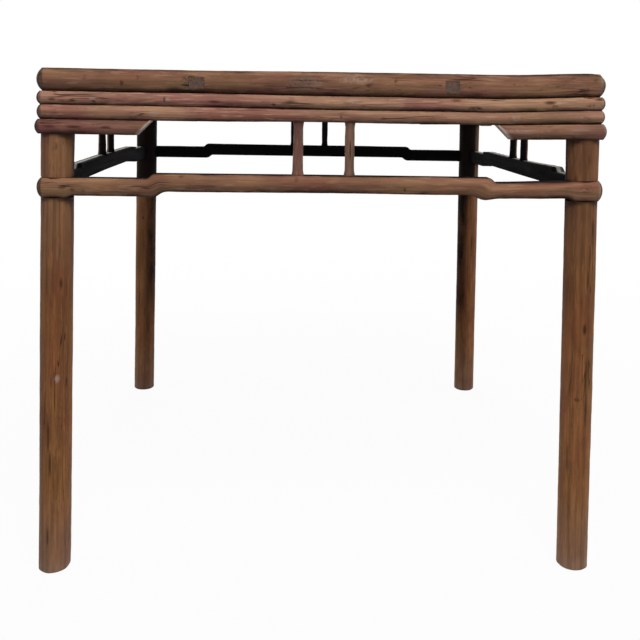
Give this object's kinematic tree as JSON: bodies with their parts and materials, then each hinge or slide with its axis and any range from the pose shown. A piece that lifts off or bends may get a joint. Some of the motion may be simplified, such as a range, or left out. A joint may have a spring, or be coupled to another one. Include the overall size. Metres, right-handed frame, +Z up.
{
  "type": "square dining table",
  "caption": "Square wooden dining table: round leaning legs wrapped by humped stretchers and half-round mouldings, with corner spandrels and small struts.",
  "frame": {"origin": "on the floor under the centre of the table", "axes": "+Z up, the front side at -Y, +X to the right seen from the front"},
  "size_m": [0.9312, 0.9312, 0.83],
  "materials": {
    "leg_wood": "worn oiled hardwood, reddish brown, dark cracks along the grain",
    "frame_wood": "worn oiled hardwood, rubbed to tan on the upper edge, dark below",
    "moulding_wood": "worn oiled hardwood, grime in the grooves",
    "apron_wood": "worn oiled hardwood, grime in the grooves",
    "spandrel_wood": "worn oiled hardwood, rubbed pale at the cut ends",
    "stretcher_wood": "worn oiled hardwood, black lacquer left on the inner faces",
    "strut_wood": "worn oiled hardwood, turned",
    "panel_wood": "worn oiled boards with knife marks, black underneath",
    "batten_wood": "old black lacquer, dull"
  },
  "bodies": {
    "root": {"apron_back": "apron_wood", "apron_front": "apron_wood", "apron_left": "apron_wood", "apron_right": "apron_wood", "batten_1": "batten_wood", "batten_2": "batten_wood", "batten_3": "batten_wood", "frame_rail_back": "frame_wood", "frame_rail_front": "frame_wood", "frame_rail_left": "frame_wood", "frame_rail_right": "frame_wood", "leg_back_left": "leg_wood", "leg_back_right": "leg_wood", "leg_front_left": "leg_wood", "leg_front_right": "leg_wood", "moulding_back": "moulding_wood", "moulding_front": "moulding_wood", "moulding_left": "moulding_wood", "moulding_right": "moulding_wood", "panel_board_1": "panel_wood", "panel_board_2": "panel_wood", "panel_board_3": "panel_wood", "panel_board_4": "panel_wood", "spandrel_back_a": "spandrel_wood", "spandrel_back_b": "spandrel_wood", "spandrel_front_a": "spandrel_wood", "spandrel_front_b": "spandrel_wood", "spandrel_left_a": "spandrel_wood", "spandrel_left_b": "spandrel_wood", "spandrel_right_a": "spandrel_wood", "spandrel_right_b": "spandrel_wood", "stretcher_back": "stretcher_wood", "stretcher_front": "stretcher_wood", "stretcher_left": "stretcher_wood", "stretcher_right": "stretcher_wood", "strut_back_a": "strut_wood", "strut_back_b": "strut_wood", "strut_front_a": "strut_wood", "strut_front_b": "strut_wood", "strut_left_a": "strut_wood", "strut_left_b": "strut_wood", "strut_right_a": "strut_wood", "strut_right_b": "strut_wood"}
  },
  "joints": []
}
